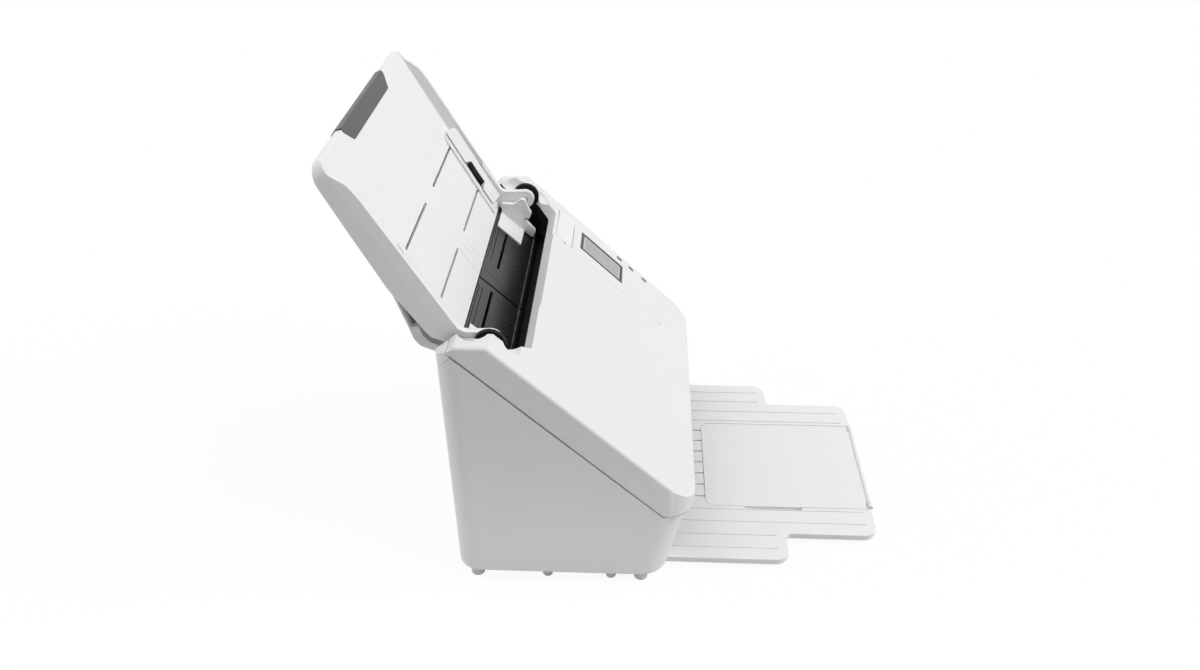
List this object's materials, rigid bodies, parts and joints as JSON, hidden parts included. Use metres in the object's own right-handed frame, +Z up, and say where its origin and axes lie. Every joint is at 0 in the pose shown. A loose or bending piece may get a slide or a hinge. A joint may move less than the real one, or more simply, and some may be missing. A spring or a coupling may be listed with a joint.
{
  "type": "document scanner",
  "caption": "Desktop sheet-fed document scanner: sloping hinged cover with display and keys, fold-down paper chute with sliding guides, slide-out stacking tray",
  "frame": {"origin": "centre of the bounding box's bottom face, with the chute up and the tray out", "axes": "X across the paper path to the scanner's right side with the display, Y to the back, Z up"},
  "size_m": [0.3, 0.4542, 0.3841],
  "materials": {
    "bottom_plate": "zinc coated steel sheet",
    "casing_screws": "zinc plated steel",
    "chute_back_shell": "fine textured white ABS",
    "chute_panel": "fine textured white ABS",
    "chute_rest": "fine textured white ABS",
    "chute_rest_pad": "grey plastic",
    "cover_inner_guide": "satin black plastic",
    "cover_shell": "fine textured white ABS",
    "data_socket": "pressed steel shell",
    "display_bezel": "dark grey plastic",
    "display_glass": "grey display window",
    "drive_belt": "black rubber belt",
    "drive_motor": "plated steel can",
    "exit_idler": "dark rubber on a steel axle",
    "exit_pulley": "white acetal",
    "exit_shaft": "ground steel shaft",
    "exit_tyres": "grooved dark rubber",
    "exit_wall": "dark grey plastic",
    "extension_tray": "dark grey plastic",
    "feed_plate": "satin black plastic",
    "feed_pulley": "white acetal",
    "feed_shaft": "ground steel shaft",
    "feed_tyres": "grooved dark rubber",
    "flap_pin": "steel wire",
    "guide_pinion": "black acetal",
    "guide_rack_left": "black acetal",
    "guide_rack_right": "black acetal",
    "large_feet": "grey rubber",
    "lower_casing": "fine textured white ABS",
    "lower_guide_left": "white acetal",
    "lower_guide_right": "white acetal",
    "lower_image_sensor": "black plastic housing",
    "lower_sensor_glass": "clear glass",
    "main_board": "green solder mask",
    "motor_pulley": "white acetal on a steel shaft",
    "panel_board": "green solder mask",
    "panel_key_1": "light grey key",
    "panel_key_2": "light grey key",
    "panel_key_3": "blue grey key",
    "pivot_pins": "ground steel pins",
    "power_inlet": "black moulded socket",
    "rear_top_cover": "fine textured white ABS",
    "release_key": "fine textured white ABS",
    "separation_roller": "dark rubber on an acetal axle",
    "side_frame_left": "black glass-filled plastic",
    "side_frame_right": "black glass-filled plastic",
    "small_feet": "grey rubber",
    "stacking_tray": "fine textured white ABS",
    "tie_bar": "ground steel bar",
    "transport_idler": "dark rubber on a steel axle",
    "transport_plate": "satin black plastic",
    "transport_pulley": "white acetal",
    "transport_shaft": "ground steel shaft",
    "transport_tyres": "grooved dark rubber",
    "tray_flap": "fine textured white ABS",
    "tray_runners": "plain white acetal",
    "upper_guide_left": "white acetal",
    "upper_guide_right": "white acetal",
    "upper_image_sensor": "black plastic housing",
    "upper_sensor_glass": "clear glass"
  },
  "bodies": {
    "base": {"lower_casing": "lower_casing", "bottom_plate": "bottom_plate", "casing_screws": "casing_screws", "large_feet": "large_feet", "small_feet": "small_feet", "tray_runners": "tray_runners", "rear_top_cover": "rear_top_cover", "side_frame_left": "side_frame_left", "side_frame_right": "side_frame_right", "tie_bar": "tie_bar", "feed_plate": "feed_plate", "transport_plate": "transport_plate", "lower_image_sensor": "lower_image_sensor", "lower_sensor_glass": "lower_sensor_glass", "exit_wall": "exit_wall", "drive_belt": "drive_belt", "drive_motor": "drive_motor", "main_board": "main_board", "power_inlet": "power_inlet", "data_socket": "data_socket", "chute_rest": "chute_rest", "chute_rest_pad": "chute_rest_pad", "pivot_pins": "pivot_pins"},
    "front_cover": {"cover_shell": "cover_shell", "cover_inner_guide": "cover_inner_guide", "upper_image_sensor": "upper_image_sensor", "upper_sensor_glass": "upper_sensor_glass", "display_bezel": "display_bezel", "display_glass": "display_glass", "panel_board": "panel_board"},
    "key_one": {"panel_key_1": "panel_key_1"},
    "key_two": {"panel_key_2": "panel_key_2"},
    "key_three": {"panel_key_3": "panel_key_3"},
    "cover_release": {"release_key": "release_key"},
    "separation": {"separation_roller": "separation_roller"},
    "transport_idling": {"transport_idler": "transport_idler"},
    "exit_idling": {"exit_idler": "exit_idler"},
    "chute": {"chute_panel": "chute_panel", "chute_back_shell": "chute_back_shell"},
    "extension": {"extension_tray": "extension_tray"},
    "guide_left": {"upper_guide_left": "upper_guide_left", "guide_rack_left": "guide_rack_left"},
    "guide_right": {"upper_guide_right": "upper_guide_right", "guide_rack_right": "guide_rack_right"},
    "pinion": {"guide_pinion": "guide_pinion"},
    "feed_guide_left": {"lower_guide_left": "lower_guide_left"},
    "feed_guide_right": {"lower_guide_right": "lower_guide_right"},
    "feed_roller": {"feed_shaft": "feed_shaft", "feed_tyres": "feed_tyres", "feed_pulley": "feed_pulley"},
    "transport_roller": {"transport_shaft": "transport_shaft", "transport_tyres": "transport_tyres", "transport_pulley": "transport_pulley"},
    "exit_roller": {"exit_shaft": "exit_shaft", "exit_tyres": "exit_tyres", "exit_pulley": "exit_pulley"},
    "motor_rotor": {"motor_pulley": "motor_pulley"},
    "tray": {"stacking_tray": "stacking_tray", "flap_pin": "flap_pin"},
    "flap": {"tray_flap": "tray_flap"}
  },
  "joints": [
    {"name": "cover_hinge", "type": "hinge", "parent": "base", "child": "front_cover", "pos_m": [0, -0.03995, 0.0933], "axis": [-1, 0, 0], "range_deg": [-50, 0]},
    {"name": "chute_hinge", "type": "hinge", "parent": "base", "child": "chute", "pos_m": [0, 0.10955, 0.238], "axis": [1, 0, 0], "range_deg": [0, 162]},
    {"name": "extension_slide", "type": "slide", "parent": "chute", "child": "extension", "axis": [0, 0.4726, 0.8813], "range_m": [0, 0.08]},
    {"name": "guide_left_slide", "type": "slide", "parent": "chute", "child": "guide_left", "axis": [1, 0, 0], "range_m": [0, 0.078]},
    {"name": "guide_right_slide", "type": "slide", "parent": "chute", "child": "guide_right", "axis": [-1, 0, 0], "range_m": [0, 0.078]},
    {"name": "pinion_turn", "type": "hinge", "parent": "chute", "child": "pinion", "pos_m": [0, 0.16593, 0.27666], "axis": [0, 0.8813, -0.4726], "range_deg": [0, 321]},
    {"name": "feed_guide_left_slide", "type": "slide", "parent": "base", "child": "feed_guide_left", "axis": [1, 0, 0], "range_m": [0, 0.078]},
    {"name": "feed_guide_right_slide", "type": "slide", "parent": "base", "child": "feed_guide_right", "axis": [-1, 0, 0], "range_m": [0, 0.078]},
    {"name": "feed_turn", "type": "hinge", "parent": "base", "child": "feed_roller", "pos_m": [0, 0.09736, 0.17701], "axis": [1, 0, 0], "continuous": true},
    {"name": "transport_turn", "type": "hinge", "parent": "base", "child": "transport_roller", "pos_m": [0, 0.05487, 0.13751], "axis": [1, 0, 0], "continuous": true},
    {"name": "exit_turn", "type": "hinge", "parent": "base", "child": "exit_roller", "pos_m": [0, 0.00479, 0.09148], "axis": [1, 0, 0], "continuous": true},
    {"name": "motor_turn", "type": "hinge", "parent": "base", "child": "motor_rotor", "pos_m": [0, 0.08905, 0.092], "axis": [1, 0, 0], "continuous": true},
    {"name": "separation_turn", "type": "hinge", "parent": "front_cover", "child": "separation", "pos_m": [0, 0.0832, 0.19163], "axis": [1, 0, 0], "continuous": true},
    {"name": "transport_idler_turn", "type": "hinge", "parent": "front_cover", "child": "transport_idling", "pos_m": [0, 0.04398, 0.14875], "axis": [1, 0, 0], "continuous": true},
    {"name": "exit_idler_turn", "type": "hinge", "parent": "front_cover", "child": "exit_idling", "pos_m": [0, -0.00485, 0.10143], "axis": [1, 0, 0], "continuous": true},
    {"name": "release_press", "type": "slide", "parent": "front_cover", "child": "cover_release", "axis": [0, 0.6959, -0.7181], "range_m": [0, 0.002], "stiffness_N_per_m": 400},
    {"name": "tray_slide", "type": "slide", "parent": "base", "child": "tray", "axis": [0, 1, 0], "range_m": [0, 0.157]},
    {"name": "flap_hinge", "type": "hinge", "parent": "tray", "child": "flap", "pos_m": [0, -0.22455, 0.0097], "axis": [1, 0, 0], "range_deg": [0, 178]},
    {"name": "key_one_press", "type": "slide", "parent": "front_cover", "child": "key_one", "axis": [0, 0.6959, -0.7181], "range_m": [0, 0.0008], "stiffness_N_per_m": 300},
    {"name": "key_two_press", "type": "slide", "parent": "front_cover", "child": "key_two", "axis": [0, 0.6959, -0.7181], "range_m": [0, 0.0008], "stiffness_N_per_m": 300},
    {"name": "key_three_press", "type": "slide", "parent": "front_cover", "child": "key_three", "axis": [0, 0.6959, -0.7181], "range_m": [0, 0.0008], "stiffness_N_per_m": 300}
  ],
  "couplings": [
    {"joint": "guide_right_slide", "follows": "guide_left_slide", "ratio": 1},
    {"joint": "pinion_turn", "follows": "guide_left_slide", "rad_per_m": 71.429},
    {"joint": "feed_guide_right_slide", "follows": "feed_guide_left_slide", "ratio": 1},
    {"joint": "motor_turn", "follows": "feed_turn", "ratio": 1},
    {"joint": "transport_turn", "follows": "feed_turn", "ratio": 1},
    {"joint": "exit_turn", "follows": "feed_turn", "ratio": 1}
  ]
}
